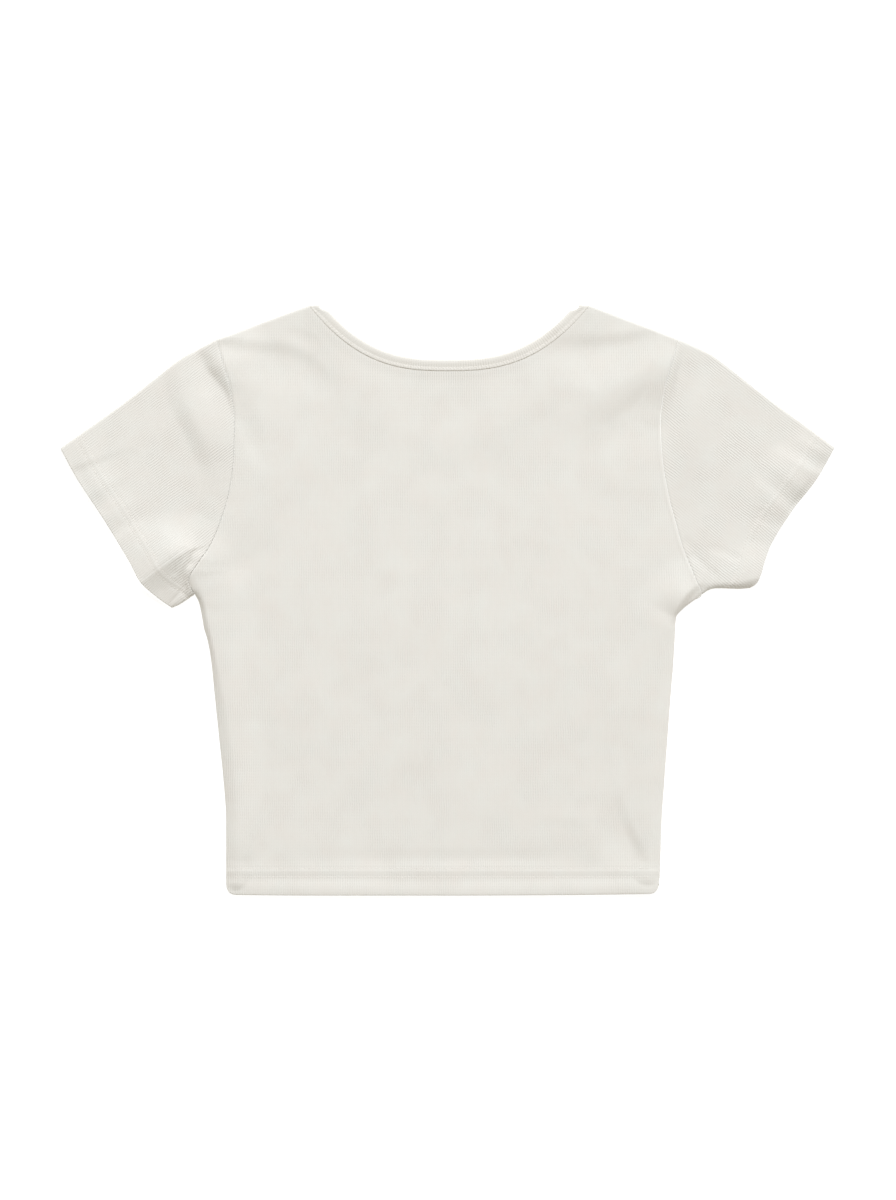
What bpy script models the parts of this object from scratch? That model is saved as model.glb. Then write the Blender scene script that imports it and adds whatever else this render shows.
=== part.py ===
# A cropped rib-knit T-shirt laid flat on its front, with the back panel uppermost.
#
# Lengths in the tables are millimetres. X runs across the garment from its centre back,
# Y is the height above the hem, and Z is up from the surface that the garment lies on.
# Two layers of cloth lie on each other: the back above, the front below. Each sleeve is
# one flattened tube, and the neck binding is one closed strip that folds over at each
# shoulder.

from collections import namedtuple
import math

import bmesh
import bpy
from mathutils import Vector

MM = 0.001

# Cloth
WALL = 1.1              # one layer of rib knit
TURNED_WALL = 2.0       # a hem, where the cloth is turned up on itself
BINDING_WALL = 2.0      # the binding strip, folded round the neck edge
SEAM_GAP = 0.35         # between two pieces that are sewn together
AIR = 0.6               # least space between the upper and the lower layer
MOST_AIR = 3.4          # the lower layer lifts with a fold that stands higher than this

# Body
LENGTH = 451.0          # hem to the highest point of the shoulders
HEM_DEPTH = 20.0
HEM_STEP = 2.5          # over which the turned hem thins to one layer
HEM_CORNER = 4.5
HEM_RISE = 1.3          # the hem's right end lies this much higher than its middle
SHOULDER_TIP = 424.2    # height of the shoulder seam's outer end

# Neck
NECK_LEFT = -105.2          # the shoulder points, at the binding's seam
NECK_RIGHT = 107.8
NECK_POINT = 450.3          # height of those points
BACK_NECK_DEPTH = 49.6
BACK_NECK_POWER = 2.7       # how square the scoop is: 2 is a parabola
FRONT_NECK_DEPTH = 103.0
FRONT_NECK_POWER = 2.2
BINDING_WIDTH = 7.9
BINDING_END = (6.2, 0.2)    # the binding's width where it folds over, in and up from its seam
BINDING_TURN = 2.6          # the fold starts this far short of the shoulder point
BINDING_EASE = 0.3          # and as far again off its seam, to clear the panel's corner

# Sleeves
CUFF_DEPTH = 18.0
RIDGE_ROW = 266.0           # the armhole row that runs out along the left sleeve's ridge

# One row for each section of the body, from the hem to the shoulder tips, with the
# places of its left and right edges. The rows from 231 up are the armhole seams.
Section = namedtuple("Section", "height left right")
UNDERARM = 229.5
BODY = [
    Section(4.5, -168.8, 161.3),
    Section(20.0, -168.9, 162.2),
    Section(22.5, -168.9, 162.3),
    Section(57.0, -168.9, 163.4),
    Section(88.0, -170.9, 165.5),
    Section(118.0, -174.0, 167.7),
    Section(149.0, -177.2, 170.0),
    Section(180.0, -180.4, 172.5),
    Section(195.0, -183.1, 173.4),
    Section(204.0, -185.8, 173.8),
    Section(212.0, -187.2, 174.4),
    Section(218.5, -188.4, 179.7),
    Section(224.5, -190.0, 187.7),
    Section(UNDERARM, -192.6, 193.2),
    Section(240.0, -197.0, 190.0),
    Section(253.0, -190.0, 184.4),
    Section(RIDGE_ROW, -181.3, 179.2),
    Section(284.0, -173.4, 174.0),
    Section(308.0, -166.4, 167.9),
    Section(336.0, -162.8, 163.5),
    Section(361.0, -162.3, 162.3),
    Section(384.0, -164.7, 165.1),
    Section(405.0, -170.6, 170.6),
    Section(SHOULDER_TIP, -175.9, 176.6),
]

# Where the cloth's lines run up the body: parts of the way from a shoulder tip to the
# neck point, and then from there to the centre.
SIDE_COLUMNS = [0.0, 0.065, 0.35, 0.68]
NECK_COLUMNS = [0.0, 0.1, 0.22, 0.36, 0.53, 0.75]

# The outline of each sleeve, past its armhole seam: the fold on top, out to the cuff's
# upper corner, then the cuff's edge, then the underarm fold back to the body.
Outline = namedtuple("Outline", "top cuff under ridge_at")
SLEEVES = {
    "sleeve_left": Outline(
        top=[(-175.9, 424.2), (-190.8, 416.3), (-206.0, 407.6), (-243.4, 378.2),
             (-275.3, 355.3), (-295.4, 341.2)],
        cuff=[(-295.4, 341.2), (-282.0, 316.7), (-262.0, 286.2), (-243.4, 255.7),
              (-234.4, 239.0), (-221.5, 227.2), (-210.1, 219.2)],
        under=[(-210.1, 219.2), (-203.8, 222.2), (-192.6, 229.5)],
        ridge_at=0.80,
    ),
    "sleeve_right": Outline(
        top=[(176.6, 424.2), (194.0, 416.3), (206.8, 408.7), (245.8, 378.2),
             (277.2, 355.3), (295.4, 341.6)],
        cuff=[(295.4, 341.6), (281.4, 316.8), (263.7, 293.9), (249.0, 271.0),
              (241.4, 249.0), (237.2, 238.8), (231.0, 233.6)],
        under=[(231.0, 233.6), (206.0, 233.4), (193.2, 229.5)],
        ridge_at=0.78,
    ),
}
STATIONS = [0.0, 0.12, 0.27, 0.42, 0.56, 0.68, 0.78, 0.86, 0.92, 1.0]

# The folds in the upper layer: a crest from one end to the other, its height, how far it
# takes to die away on the left and the right of that line, and how round its crest is
# (1 is a crease, 2 a dome).
Fold = namedtuple("Fold", "name x1 y1 x2 y2 height left right round")
FOLDS = [
    Fold("left underarm ridge", -232.5, 238.4, -198.0, 263.4, 6.2, 40.0, 17.0, 1.0),
    Fold("left underarm puff", -188.0, 259.0, -190.5, 243.0, 4.6, 14.0, 9.0, 2.0),
    Fold("right underarm ridge", 174.6, 217.5, 185.6, 231.8, 3.4, 26.0, 8.0, 1.2),
    Fold("right sleeve roll", 206.0, 239.5, 231.0, 241.0, 2.6, 42.0, 9.0, 2.0),
    Fold("left sleeve swell", -222.0, 372.0, -196.0, 334.0, 1.2, 30.0, 24.0, 2.0),
    Fold("left sleeve head", -184.0, 398.0, -178.0, 352.0, 1.2, 16.0, 16.0, 2.0),
    Fold("right shoulder swell", 118.0, 418.0, 150.0, 392.0, 1.0, 26.0, 26.0, 2.0),
    Fold("body crown", -60.0, 200.0, 60.0, 200.0, 1.0, 150.0, 150.0, 2.0),
]
OVER_NECK_LIFT = 1.6        # the back rises where it lies over the front's binding
OVER_NECK_REACH = 24.0
NECK_HOLE_SAG = 0.9         # and sinks where only the surface is under it

CLOTH_COLOUR = (0.80, 0.775, 0.715)
BINDING_COLOUR = (0.79, 0.76, 0.70)


def smooth(value):
    """0 below 0, 1 above 1, and an S-curve between."""
    value = min(max(value, 0.0), 1.0)
    return value * value * (3.0 - 2.0 * value)


def neck_part(x):
    """How far a place is from the centre back to the shoulder point, which is 1."""
    return x / (NECK_LEFT if x < 0.0 else NECK_RIGHT)


def neck_height(x, depth, power):
    return NECK_POINT - depth + depth * min(neck_part(x), 1.0) ** power


def back_neck(x):
    return neck_height(x, BACK_NECK_DEPTH, BACK_NECK_POWER)


def front_neck(x):
    return neck_height(x, FRONT_NECK_DEPTH, FRONT_NECK_POWER)


def fold_height(fold, x, y):
    start = Vector((fold.x1, fold.y1))
    along = Vector((fold.x2, fold.y2)) - start
    offset = Vector((x, y)) - start
    part = min(max(offset.dot(along) / along.length_squared, 0.0), 1.0)
    away = offset - along * part
    reach = fold.left if along.cross(away) > 0 else fold.right
    fall = min(away.length / reach, 1.0)
    return fold.height * (1.0 - fall ** fold.round) ** 2


def neck_lift(x, y):
    """The rise over the front's binding, and the sag inside its neck hole."""
    slope = (front_neck(x + 1.0) - front_neck(x - 1.0)) / 2.0
    away = (y - front_neck(x)) / math.hypot(1.0, slope)
    beside = max(NECK_LEFT - x, x - NECK_RIGHT, 0.0)
    lift = OVER_NECK_LIFT * (1.0 - smooth(math.hypot(away, beside) / OVER_NECK_REACH))
    sag = NECK_HOLE_SAG * smooth(away / OVER_NECK_REACH - 0.6) if not beside else 0.0
    return lift - sag


def top_height(x, y, wall):
    """Height of the upper layer's outer face. Folds merge instead of adding up."""
    folds = sum(fold_height(fold, x, y) ** 4 for fold in FOLDS) ** 0.25
    return 2.0 * wall + AIR + folds + neck_lift(x, y)


def bottom_height(x, y, wall):
    """Height of the lower layer's outer face: flat, but for where a high fold lifts it."""
    return max(0.0, top_height(x, y, wall) - 2.0 * wall - MOST_AIR)


def body_wall(y):
    return WALL + (TURNED_WALL - WALL) * (1.0 - smooth((y - HEM_DEPTH) / HEM_STEP))


def columns():
    """Places across a panel, 0 at its left edge and 1 at its right."""
    tips = BODY[-1]
    xs = [tips.left + part * (NECK_LEFT - tips.left) for part in SIDE_COLUMNS]
    xs += [NECK_LEFT * (1.0 - part) for part in NECK_COLUMNS]
    xs += [0.0] + [NECK_RIGHT * (1.0 - part) for part in reversed(NECK_COLUMNS)]
    xs += [tips.right + part * (NECK_RIGHT - tips.right) for part in reversed(SIDE_COLUMNS)]
    return [(x - tips.left) / (tips.right - tips.left) for x in xs]


def top_edge(x, neck):
    """Height of a panel's top edge: the shoulder seams, with the neck between them."""
    if NECK_LEFT <= x <= NECK_RIGHT:
        return neck(x)
    point, tip = (NECK_LEFT, BODY[-1].left) if x < 0.0 else (NECK_RIGHT, BODY[-1].right)
    return NECK_POINT + (SHOULDER_TIP - NECK_POINT) * (x - point) / (tip - point)


def hem_edge(x, section):
    """Height of the hem's lower edge, with its rounded corners."""
    rise = HEM_RISE * (max(x, 0.0) / section.right) ** 2
    inside = min(x - section.left, section.right - x)
    cut = max(HEM_CORNER - inside, 0.0)
    return rise + HEM_CORNER - math.sqrt(HEM_CORNER ** 2 - cut ** 2)


def panel_point(place, section, neck):
    """Where the cloth's line at this place crosses this section of a panel."""
    x = section.left + place * (section.right - section.left)
    if section is BODY[0]:
        return x, hem_edge(x, section)
    tips = BODY[-1]
    rise = top_edge(tips.left + place * (tips.right - tips.left), neck) - SHOULDER_TIP
    return x, section.height + rise * (section.height / SHOULDER_TIP) ** 3


def finish(mesh_name, bm, turned, colour, wall, thin_wall):
    """Makes the object of an outer face, and gives it its wall, inwards."""
    mesh = bpy.data.meshes.new(mesh_name)
    bm.to_mesh(mesh)
    bm.free()
    obj = bpy.data.objects.new(mesh_name, mesh)
    part_collection.objects.link(obj)
    obj.parent = garment
    material = bpy.data.materials.new(mesh_name)
    material.use_nodes = True
    shader = material.node_tree.nodes["Principled BSDF"]
    shader.inputs["Base Color"].default_value = (*colour, 1.0)
    shader.inputs["Roughness"].default_value = 0.9
    shader.inputs["Metallic"].default_value = 0.0
    mesh.materials.append(material)
    mesh.shade_smooth()
    solidify = obj.modifiers.new("Wall", "SOLIDIFY")
    solidify.thickness = wall * MM
    solidify.offset = -1.0
    solidify.use_even_offset = True
    if turned:
        group = obj.vertex_groups.new(name="turned cloth")
        for index, weight in enumerate(turned):
            group.add([index], weight, "REPLACE")
        solidify.vertex_group = group.name
        solidify.thickness_vertex_group = thin_wall / wall
    return obj


def make_panel(name, neck, height):
    """The back or the front: a grid of cloth, laid out section by section."""
    places = columns()
    across = len(places) - 1
    upwards = len(BODY) - 1
    bm = bmesh.new()
    bmesh.ops.create_grid(bm, x_segments=across, y_segments=upwards, size=0.5)
    turned = []
    for vert in bm.verts:
        place = places[round((vert.co.x + 0.5) * across)]
        section = BODY[round((vert.co.y + 0.5) * upwards)]
        x, y = panel_point(place, section, neck)
        wall = body_wall(y)
        turned.append((wall - WALL) / (TURNED_WALL - WALL))
        vert.co = Vector((x, y, height(x, y, wall))) * MM
    if height is bottom_height:
        bmesh.ops.reverse_faces(bm, faces=bm.faces)
    return finish(name, bm, turned, CLOTH_COLOUR, TURNED_WALL, WALL)


def resample(points, parts):
    """Points at these parts of the length of a smooth curve through the given points."""
    points = [Vector(point) for point in points]
    ends = [points[0] * 2 - points[1], points[-1] * 2 - points[-2]]
    knots = [ends[0]] + points + [ends[1]]
    steps = 24
    line = []
    for a, b, c, d in zip(knots, knots[1:], knots[2:], knots[3:]):
        for step in range(steps):
            t = step / steps
            line.append(0.5 * (2 * b + (c - a) * t + (2 * a - 5 * b + 4 * c - d) * t ** 2
                               + (3 * b - a - 3 * c + d) * t ** 3))
    line.append(points[-1])
    lengths = [0.0]
    for a, b in zip(line, line[1:]):
        lengths.append(lengths[-1] + (b - a).length)
    found = []
    for part in parts:
        target = part * lengths[-1]
        index = next(i for i in range(1, len(line)) if lengths[i] >= target - 1e-9)
        share = (target - lengths[index - 1]) / (lengths[index] - lengths[index - 1])
        found.append(line[index - 1].lerp(line[index], share))
    return found


def armhole(side):
    """The armhole seam's points, from the shoulder tip down, on the body."""
    rows = [section for section in reversed(BODY) if section.height >= UNDERARM]
    return rows, [Vector((getattr(section, side), section.height)) for section in rows]


def moved(points, gap):
    """A seam's line moved to its right by the gap, or to its left by a negative one."""
    runs = [(b - a).normalized() for a, b in zip(points, points[1:])]
    line = []
    for point, before, after in zip(points, runs[:1] + runs, runs + runs[-1:]):
        along = (before + after).normalized()
        line.append(point + Vector((along.y, -along.x)) * gap / along.dot(before))
    return line


def ring(row, wall):
    """One ring of a sleeve: the upper layer, the fold, the lower layer, the other fold."""
    upper = [Vector((*p, top_height(p.x, p.y, wall))) for p in row[1:-1]]
    lower = [Vector((*p, bottom_height(p.x, p.y, wall))) for p in row[1:-1]]
    folds = []
    for edge, inner in ((row[-1], row[-2]), (row[0], row[1])):
        inward = (inner - edge).normalized()
        near = edge + inward * 2.0
        radius = top_height(near.x, near.y, wall) / 2.0
        turn = []
        for degrees in (90.0, 45.0, 0.0, -45.0, -90.0):
            angle = math.radians(degrees)
            place = edge + inward * radius * (1.0 - math.cos(angle))
            turn.append(Vector((*place, radius * (1.0 + math.sin(angle)))))
        folds.append(turn)
    return upper + folds[0] + lower[::-1] + folds[1][::-1]


def make_sleeve(name, side):
    """A sleeve: a flattened tube through rings, from the armhole seam to the cuff."""
    outline = SLEEVES[name]
    rows, seam = armhole(side)
    lengths = [0.0]
    for a, b in zip(seam, seam[1:]):
        lengths.append(lengths[-1] + (b - a).length)
    ridge = lengths[[row.height for row in rows].index(RIDGE_ROW)]
    parts = []
    for length in lengths:
        if length <= ridge:
            parts.append(outline.ridge_at * length / ridge)
        else:
            past = (length - ridge) / (lengths[-1] - ridge)
            parts.append(outline.ridge_at + (1.0 - outline.ridge_at) * past)
    seam = moved(seam, SEAM_GAP if side == "left" else -SEAM_GAP)
    cuff = resample(outline.cuff, parts)
    top = resample([seam[0]] + outline.top[1:], STATIONS)
    under = resample(outline.under[:-1] + [seam[-1]], [1.0 - s for s in STATIONS])
    cuff_from = 1.0 - CUFF_DEPTH / (cuff[0] - seam[0]).length
    rings = []
    turned = []
    for station, s in enumerate(STATIONS):
        row = []
        for index, part in enumerate(parts):
            across = top[station].lerp(under[station], part)
            along = seam[index].lerp(cuff[index], s)
            corner = seam[0].lerp(cuff[0], s).lerp(seam[-1].lerp(cuff[-1], s), part)
            row.append(across + along - corner)
        weight = smooth((s - cuff_from) / 0.05 + 1.0)
        rings.append(ring(row, WALL + (TURNED_WALL - WALL) * weight))
        turned += [weight] * len(rings[-1])
    bm = loft(rings, closed=True)
    return finish(name, bm, turned, CLOTH_COLOUR, TURNED_WALL, WALL)


def loft(rings, closed, joined=False):
    """Faces through a row of rings. Joined runs the last ring back to the first."""
    bm = bmesh.new()
    rows = [[bm.verts.new(point * MM) for point in ring_points] for ring_points in rings]
    if joined:
        rows.append(rows[0])
    for one, two in zip(rows, rows[1:]):
        count = len(one)
        for index in range(count if closed else count - 1):
            after = (index + 1) % count
            bm.faces.new((one[index], one[after], two[after], two[index]))
    bmesh.ops.recalc_face_normals(bm, faces=bm.faces)
    return bm


def binding_sections(neck, height):
    """The binding's two edges along a neckline, from left to right."""
    tips = BODY[-1]
    xs = [tips.left + place * (tips.right - tips.left) for place in columns()]
    xs = [x for x in xs if abs(neck_part(x)) < 1.0001]
    points = [Vector((x, neck(x))) for x in xs]
    seam = moved(points, -SEAM_GAP)
    sections = []
    for index, point in enumerate(seam):
        if index in (0, len(seam) - 1):
            inwards, after = (1.0, seam[1]) if index == 0 else (-1.0, seam[-2])
            point = point.lerp(after, BINDING_TURN / (after - point).length)
            point = point + Vector((BINDING_EASE * inwards, 0.0))
            free = point + Vector((BINDING_END[0] * inwards, BINDING_END[1]))
        else:
            along = (points[index + 1] - points[index - 1]).normalized()
            free = point + Vector((-along.y, along.x)) * BINDING_WIDTH
        level = height(point)
        sections.append([Vector((*point, level)), Vector((*free, level))])
    return sections


def shoulder_fold(upper, lower):
    """Sections that carry the binding round from its upper run to its lower one."""
    sections = []
    for degrees in (45.0, 0.0, -45.0):
        angle = math.radians(degrees)
        section = []
        for high, low in zip(upper, lower):
            radius = (high.z - low.z) / 2.0
            plan = high.lerp(low, 0.5 - 0.5 * math.sin(angle))
            section.append(Vector((plan.x, plan.y + radius * math.cos(angle),
                                   low.z + radius * (1.0 + math.sin(angle)))))
        sections.append(section)
    return sections


def make_binding():
    """The neck binding: one closed strip, its upper run on the back's edge and its lower
    run on the front's."""
    proud = (BINDING_WALL - WALL) / 2.0
    upper = binding_sections(back_neck, lambda p: top_height(p.x, p.y, WALL) + proud)
    lower = binding_sections(front_neck, lambda p: 0.0)
    ring_of_sections = (upper + shoulder_fold(upper[-1], lower[-1]) + lower[::-1]
                        + shoulder_fold(upper[0], lower[0])[::-1])
    bm = loft(ring_of_sections, closed=False, joined=True)
    return finish("neck_binding", bm, None, BINDING_COLOUR, BINDING_WALL, BINDING_WALL)


for existing in list(bpy.data.objects):
    bpy.data.objects.remove(existing, do_unlink=True)
part_collection = bpy.data.collections.new("crop top")
bpy.context.scene.collection.children.link(part_collection)
garment = bpy.data.objects.new("garment", None)
part_collection.objects.link(garment)
garment.location = (0.0, -LENGTH / 2.0 * MM, 0.0)

make_panel("front_panel", front_neck, bottom_height)
make_panel("back_panel", back_neck, top_height)
make_sleeve("sleeve_left", "left")
make_sleeve("sleeve_right", "right")
make_binding()
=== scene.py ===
import math

import bpy
import numpy as np
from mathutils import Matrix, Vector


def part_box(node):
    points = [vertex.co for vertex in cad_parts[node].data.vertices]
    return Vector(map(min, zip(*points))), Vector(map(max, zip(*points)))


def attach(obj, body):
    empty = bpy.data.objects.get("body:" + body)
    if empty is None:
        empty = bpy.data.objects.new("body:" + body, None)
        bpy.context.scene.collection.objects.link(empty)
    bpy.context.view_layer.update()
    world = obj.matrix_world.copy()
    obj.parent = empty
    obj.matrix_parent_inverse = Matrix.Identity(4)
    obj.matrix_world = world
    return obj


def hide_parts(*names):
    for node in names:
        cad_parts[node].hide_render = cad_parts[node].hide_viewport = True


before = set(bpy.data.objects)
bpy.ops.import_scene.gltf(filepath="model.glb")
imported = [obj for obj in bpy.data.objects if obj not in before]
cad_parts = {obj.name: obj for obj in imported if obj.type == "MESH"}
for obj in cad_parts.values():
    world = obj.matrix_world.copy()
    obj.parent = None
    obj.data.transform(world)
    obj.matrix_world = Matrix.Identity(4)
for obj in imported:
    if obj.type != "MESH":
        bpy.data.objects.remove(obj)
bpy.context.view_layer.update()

# A cropped rib-knit T-shirt that lies on its front, with its back up.
# The tables are in millimetres: x from the centre back, y up from the hem, z up from the table.
mm = 0.001
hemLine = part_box("back_panel")[0].y
print("frame loaded, hem at", round(hemLine, 4))


# Lines, curves and distances

def smooth(part):
    part = np.clip(part, 0.0, 1.0)
    return part * part * (3.0 - 2.0 * part)


def bell(away, reach, roundness=2.0, ease=2.0):
    # 1 on a line and 0 at its reach: roundness 1 is a crease, 2 a dome and 4 a pad
    return (1.0 - np.minimum(np.abs(away) / reach, 1.0) ** roundness) ** ease


def lengthsOf(line):
    return np.concatenate([[0.0], np.cumsum(np.linalg.norm(np.diff(line, axis=0), axis=1))])


def atParts(line, parts):
    lengths = lengthsOf(line)
    return np.stack([np.interp(np.asarray(parts) * lengths[-1], lengths, line[:, k])
                     for k in range(line.shape[1])], axis=-1)


def curveThrough(points, parts):
    # places at these parts of the length of a smooth curve through the points
    points = np.array(points, float)
    knots = np.vstack([2 * points[0] - points[1], points, 2 * points[-1] - points[-2]])
    t = np.linspace(0.0, 1.0, 24, endpoint=False)[:, None]
    runs = [0.5 * (2 * b + (c - a) * t + (2 * a - 5 * b + 4 * c - d) * t ** 2
                   + (3 * b - a - 3 * c + d) * t ** 3)
            for a, b, c, d in zip(knots, knots[1:], knots[2:], knots[3:])]
    return atParts(np.vstack(runs + [points[-1:]]), parts)


def monotone(knots, values, at):
    # a smooth curve through the values that never swings past them
    knots, values = np.array(knots, float), np.array(values, float)
    step = np.diff(knots)
    slope = np.diff(values) / step
    tangent = np.zeros(len(knots))
    same = slope[1:] * slope[:-1] > 0
    tangent[1:-1][same] = 2.0 / (1.0 / slope[1:][same] + 1.0 / slope[:-1][same])
    tangent[0], tangent[-1] = slope[0], slope[-1]
    index = np.clip(np.searchsorted(knots, at) - 1, 0, len(step) - 1)
    t = (at - knots[index]) / step[index]
    return (values[index] * (1 + 2 * t) * (1 - t) ** 2 + step[index] * tangent[index] * t * (1 - t) ** 2
            + values[index + 1] * t ** 2 * (3 - 2 * t)
            + step[index] * tangent[index + 1] * t ** 2 * (t - 1))


def towards(line, away):
    # the line moved to its right by this much, or to its left by less than nothing
    along = np.gradient(line, axis=0)
    along /= np.linalg.norm(along, axis=1)[:, None]
    return line + np.stack([along[:, 1], -along[:, 0]], axis=-1) * away


def offsets(line, x, y):
    # for each length of a line: how far places are from it, their turn to its left, and its part
    for index, (start, end) in enumerate(zip(line, line[1:])):
        along = end - start
        dx, dy = x - start[0], y - start[1]
        t = np.clip((dx * along[0] + dy * along[1]) / (along @ along), 0.0, 1.0)
        ax, ay = dx - along[0] * t, dy - along[1] * t
        away = np.hypot(ax, ay)
        turn = (along[0] * ay - along[1] * ax) / np.maximum(away * math.hypot(*along), 1e-9)
        yield away, turn, index + t


def distanceTo(line, x, y):
    # how far places are from a line in plan, how far to its left (1) or right (-1) they lie, and
    # which part of it they belong to: both pass smoothly from one length of the line to the next
    away, turn, part = (np.array(rows) for rows in zip(*offsets(line, x, y)))
    nearest = away.min(axis=0)
    share = ((nearest + 0.4) / (away + 0.4)) ** 8
    share /= share.sum(axis=0)
    return nearest, (share * turn).sum(axis=0), (share * part).sum(axis=0)


# The cut

bodyCut = {
    # height above the hem, then the left and the right edge. From 229.5 up they are the armholes.
    "outline": [
        (0, -168.8, 161.2), (20, -168.9, 162.2), (57, -168.9, 163.4), (88, -170.9, 165.5),
        (118, -174, 167.7), (149, -177.2, 170), (180, -180.4, 172.5),
        (195, -183.1, 173.4), (204, -185.8, 173.8), (212, -187.2, 174.4),
        (218.5, -188.4, 179.7), (224.5, -190, 187.4), (229.5, -192.6, 193.8),
        (240, -197, 190), (253, -190, 184.4), (266, -181.3, 179.2),
        (284, -173.4, 174), (308, -166.4, 167.9), (336, -162.8, 163.5),
        (361, -162.3, 162.3), (384, -164.7, 165.1), (405, -170.6, 170.6),
        (424.2, -175.9, 176.6),
    ],
    "underarm": 229.5,
    "shoulderTip": 424.2,
    "neckPoints": (-105.2, 107.8),
    "neckPointHeight": 450.3,
    "wall": 1.1,
    "shown": 0.95,          # the wall that is modelled: the knit's fuzz takes up the rest
    "doubled": 1.55,        # two layers sewn and pressed together in a hem or cuff
    "pressed": 0.68,        # and each of them
    "air": 0.6,
    "mostAir": 3.4,
    "hemCorner": 7.0,
    "hemRise": (0.6, 1.3),  # the hem's left and right ends lie this much higher than its middle
    "topRoll": 1.8,         # the top folds and shoulders turn over within this width
    "seamGap": 0.3,         # between a sleeve and the body
    "clear": 0.03,          # from a wall to the height where the layers would meet
    "leastGap": (0.15, 0.21),   # from the back's and the front's face to that height
    "turnedGap": 0.1,       # and from a turned layer's
    "turnedClear": 0.2,
}
# at an armhole seam the cloth is drawn down in a groove, with a lip beside it
seamSewing = {"groove": (0.30, 0.26), "lip": (0.10, 0.24), "neckRise": 0.4, "neckReach": 9.0}
backNeck = {"depth": 49.6, "power": 2.7}
frontNeck = {"depth": 103.0, "power": 2.2}

hemSewing = {
    "turned": 20.0,         # the hem is turned up inside this far
    "step": (26.8, 18.6),   # heights between which the cloth climbs onto the turned layer
    "rows": (20.6, 13.9),   # the two rows of a twin needle
    "inset": 2.6,           # the turned layer stops short of the side seams
    "pull": (0.08, 0.13),   # how deep each row of stitches pulls, and as much again at a pucker
    "reach": (0.9, 4.5, 2.3),   # of the first row, and of the second below and above it
}

sleeveCut = {
    "sleeveLeft": {
        "side": 1,
        "top": [(-175.9, 424.2), (-190.8, 416.3), (-206, 407.6), (-243.4, 378.2),
                (-275.3, 355.3), (-295.4, 341.2)],
        "cuff": [(-295.4, 341.2), (-282, 316.7), (-262, 286.2), (-243.4, 255.7),
                 (-234.4, 239), (-221.5, 227.2), (-210.1, 219.2)],
        "under": [(-210.1, 219.2), (-203.8, 222.2), (-192.6, 229.5)],
        "ridgeAt": 0.80,
        "ridgeHeight": 266.0,
        "grain": 36.0,      # degrees that the ribs climb towards the body
        "step": 9.0,        # the cloth climbs onto the turned layer over this width
        "sideRoll": 3.6,    # its underarm fold and the side seam turn over within this width
    },
    "sleeveRight": {
        "side": 2,
        "top": [(176.6, 424.2), (194, 416.3), (206.8, 408.7), (245.8, 378.2),
                (277.2, 355.3), (295.4, 341.6)],
        "cuff": [(295.4, 341.6), (281.4, 316.8), (263.7, 293.9), (249, 271), (242.7, 255.7),
                 (240.6, 248.1), (237.8, 240.5), (234.9, 236.7), (230.7, 234.4)],
        "under": [(230.7, 234.4), (223, 233.7), (207.8, 234.1), (200.4, 233.2), (193.8, 229.5)],
        "ridgeAt": 0.78,
        "ridgeHeight": 266.0,
        "grain": -39.0,
        "step": 4.5,
        "sideRoll": 3.2,
    },
}
cuffSewing = {"turned": 17.0, "rows": (14.6, 19.4), "pull": (0.16, 0.12), "reach": (1.8, 1.2), "inset": 2.6}

outline = np.array(bodyCut["outline"])
tipLeft, tipRight = outline[-1, 1], outline[-1, 2]
tipHeight = bodyCut["shoulderTip"]
neckLeft, neckRight = bodyCut["neckPoints"]
neckPointHeight = bodyCut["neckPointHeight"]


def bodyEdge(side, height):
    return monotone(outline[:, 0], outline[:, side], np.asarray(height, float))


def neckHeight(neck, x):
    part = np.where(x < 0.0, x / neckLeft, x / neckRight)
    return neckPointHeight - neck["depth"] + neck["depth"] * np.minimum(part, 1.0) ** neck["power"]


def topEdge(neck, x):
    # a panel's top: its shoulder seams, with the neck between them
    left = neckPointHeight + (tipHeight - neckPointHeight) * (x - neckLeft) / (tipLeft - neckLeft)
    right = neckPointHeight + (tipHeight - neckPointHeight) * (x - neckRight) / (tipRight - neckRight)
    return np.where(x < neckLeft, left, np.where(x > neckRight, right, neckHeight(neck, x)))


# The garment's rolled edges: side seam with the sleeve's underarm fold, shoulder with its top fold
def edgeLines():
    heights = np.linspace(0.0, bodyCut["underarm"], 70)
    lines = []
    for sleeve in sleeveCut.values():
        side = np.stack([bodyEdge(sleeve["side"], heights), heights], axis=-1)
        under = curveThrough(sleeve["under"][::-1], np.linspace(0.0, 1.0, 8))
        top = curveThrough(sleeve["top"][::-1], np.linspace(0.0, 1.0, 30))
        neckPoint = (neckLeft if sleeve["side"] == 1 else neckRight, neckPointHeight)
        lines.append((np.vstack([side, under[1:]]), sleeve["sideRoll"]))
        lines.append((np.vstack([top, [neckPoint]]), bodyCut["topRoll"]))
    return lines


rolledEdges = edgeLines()


def edgeRoll(x, y):
    # 0 at a rolled edge, where the two layers meet at half their height, and 1 inside it
    roll = np.ones(x.shape)
    for line, reach in rolledEdges:
        away = np.full(x.shape, 1e9)
        for lengthAway, turn, part in offsets(line, x, y):
            away = np.minimum(away, lengthAway)
        roll = roll * np.sqrt(1.0 - (1.0 - np.minimum(away / reach, 1.0)) ** 2)
    return np.maximum(roll, 0.02)


# Folds, placed one by one

# (roundness, ease) on the left and on the right of a crest
shapes = {
    "soft": (2.0, 2.0, 2.0, 2.0),
    "crease": (1.5, 2.0, 1.3, 1.8),
    "pressed fold": (1.2, 1.8, 1.0, 1.6),
    "puff": (2.0, 2.0, 2.2, 2.0),
}

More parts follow.
